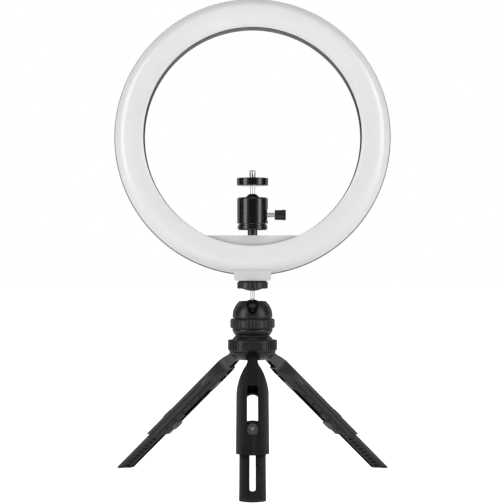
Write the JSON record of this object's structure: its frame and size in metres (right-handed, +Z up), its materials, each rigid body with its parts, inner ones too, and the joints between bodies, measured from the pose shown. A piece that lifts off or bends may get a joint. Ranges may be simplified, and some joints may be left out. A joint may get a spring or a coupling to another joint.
{
  "type": "ring light",
  "caption": "Ring light with a milky diffuser and black shell on a folding mini tripod with a ball head, and a phone ball head on the shelf inside the ring.",
  "frame": {"origin": "bottom centre of the whole object's box, on the surface it stands on; the tripod's axis is 35.2 mm behind it", "axes": "+Z up, the light faces -Y, +X to the right as seen from the front"},
  "size_m": [0.267, 0.2348, 0.4498],
  "materials": {
    "tripod_black": "fine satin moulded plastic",
    "rubber_black": "matt rubber",
    "button_grey": "satin moulded plastic",
    "ball_black": "satin black",
    "dark_steel": "black oxide",
    "steel": "zinc plated",
    "nylon": "moulded nylon",
    "polished_steel": "polished",
    "shell_black": "satin moulded plastic",
    "diffuser_white": "milky, satin",
    "bracket_white": "satin moulded plastic",
    "board_white": "white solder mask",
    "led_yellow": "phosphor gel",
    "brass": "turned",
    "anodised_black": "glossy black anodising"
  },
  "bodies": {
    "root": {"leg_hub": "tripod_black", "hub_collar": "tripod_black", "leg_front_hinge_pin": "dark_steel", "leg_right_hinge_pin": "dark_steel", "leg_left_hinge_pin": "dark_steel"},
    "leg_front": {"leg_front_housing": "tripod_black", "leg_front_cover": "tripod_black"},
    "leg_front_extension": {"leg_front_inner": "tripod_black", "leg_front_rubber_foot": "rubber_black"},
    "leg_front_button": {"leg_front_lock_button": "button_grey"},
    "leg_right": {"leg_right_housing": "tripod_black", "leg_right_cover": "tripod_black"},
    "leg_right_extension": {"leg_right_inner": "tripod_black", "leg_right_rubber_foot": "rubber_black"},
    "leg_right_button": {"leg_right_lock_button": "button_grey"},
    "leg_left": {"leg_left_housing": "tripod_black", "leg_left_cover": "tripod_black"},
    "leg_left_extension": {"leg_left_inner": "tripod_black", "leg_left_rubber_foot": "rubber_black"},
    "leg_left_button": {"leg_left_lock_button": "button_grey"},
    "tripod_head": {"pan_base": "tripod_black", "pan_bolt": "steel", "pan_nut": "steel", "head_bell": "tripod_black", "ball_seat": "nylon"},
    "ball_lock": {"ball_lock_ring": "tripod_black"},
    "tripod_ball": {"tripod_ball": "ball_black", "tripod_stud": "polished_steel"},
    "tripod_disc": {"tripod_lock_disc": "tripod_black"},
    "ring_light": {"rear_shell": "shell_black", "diffuser": "diffuser_white", "led_board": "board_white", "leds": "led_yellow", "board_screws": "steel", "mount_bracket": "bracket_white", "tripod_insert": "brass", "cable_gland": "rubber_black", "phone_head_base": "anodised_black", "phone_head_screw": "steel"},
    "phone_head": {"phone_head_body": "anodised_black", "phone_ball_seat": "nylon"},
    "phone_clamp": {"clamp_screw": "steel", "clamp_knob": "anodised_black"},
    "phone_ball": {"phone_ball": "ball_black", "phone_stud": "polished_steel"},
    "phone_platform": {"phone_disc": "anodised_black"}
  },
  "joints": [
    {"name": "leg_front_fold", "type": "hinge", "parent": "root", "child": "leg_front", "pos_m": [0, 0.02019, 0.1175], "axis": [1, 0, 0], "range_deg": [0, 47.9]},
    {"name": "leg_front_extend", "type": "slide", "parent": "leg_front", "child": "leg_front_extension", "axis": [0, -0.742, -0.6704], "range_m": [-0.046, 0]},
    {"name": "leg_front_lock_press", "type": "slide", "parent": "leg_front_extension", "child": "leg_front_button", "axis": [0, 0.6704, -0.742], "range_m": [0, 0.0015], "stiffness_N_per_m": 900},
    {"name": "leg_right_fold", "type": "hinge", "parent": "root", "child": "leg_right", "pos_m": [0.013, 0.0427, 0.1175], "axis": [-0.5, 0.866, 0], "range_deg": [0, 47.9]},
    {"name": "leg_right_extend", "type": "slide", "parent": "leg_right", "child": "leg_right_extension", "axis": [0.6426, 0.371, -0.6704], "range_m": [-0.046, 0]},
    {"name": "leg_right_lock_press", "type": "slide", "parent": "leg_right_extension", "child": "leg_right_button", "axis": [-0.5806, -0.3352, -0.742], "range_m": [0, 0.0015], "stiffness_N_per_m": 900},
    {"name": "leg_left_fold", "type": "hinge", "parent": "root", "child": "leg_left", "pos_m": [-0.013, 0.0427, 0.1175], "axis": [-0.5, -0.866, 0], "range_deg": [0, 47.9]},
    {"name": "leg_left_extend", "type": "slide", "parent": "leg_left", "child": "leg_left_extension", "axis": [-0.6426, 0.371, -0.6704], "range_m": [-0.046, 0]},
    {"name": "leg_left_lock_press", "type": "slide", "parent": "leg_left_extension", "child": "leg_left_button", "axis": [0.5806, -0.3352, -0.742], "range_m": [0, 0.0015], "stiffness_N_per_m": 900},
    {"name": "head_pan", "type": "hinge", "parent": "root", "child": "tripod_head", "pos_m": [0, 0.0352, 0.1326], "axis": [0, 0, 1], "continuous": true},
    {"name": "ball_lock_turn", "type": "hinge", "parent": "tripod_head", "child": "ball_lock", "pos_m": [0, 0.0352, 0.145], "axis": [0, 0, 1], "range_deg": [-60, 0]},
    {"name": "ball_tilt", "type": "hinge", "parent": "tripod_head", "child": "tripod_ball", "pos_m": [0, 0.0352, 0.1573], "axis": [1, 0, 0], "range_deg": [-15, 80]},
    {"name": "lock_disc_turn", "type": "hinge", "parent": "tripod_ball", "child": "tripod_disc", "pos_m": [0, 0.0352, 0.181], "axis": [0, 0, 1], "continuous": true},
    {"name": "light_turn", "type": "hinge", "parent": "tripod_ball", "child": "ring_light", "pos_m": [0, 0.0352, 0.188], "axis": [0, 0, 1], "continuous": true},
    {"name": "phone_head_pan", "type": "hinge", "parent": "ring_light", "child": "phone_head", "pos_m": [0, 0.0352, 0.2387], "axis": [0, 0, 1], "continuous": true},
    {"name": "clamp_turn", "type": "hinge", "parent": "phone_head", "child": "phone_clamp", "pos_m": [0, 0.0352, 0.2467], "axis": [1, 0, 0], "range_deg": [-180, 180]},
    {"name": "phone_tilt", "type": "hinge", "parent": "phone_head", "child": "phone_ball", "pos_m": [0, 0.0352, 0.25975], "axis": [1, 0, 0], "range_deg": [-60, 30]},
    {"name": "platform_turn", "type": "hinge", "parent": "phone_ball", "child": "phone_platform", "pos_m": [0, 0.0352, 0.278], "axis": [0, 0, 1], "continuous": true}
  ]
}
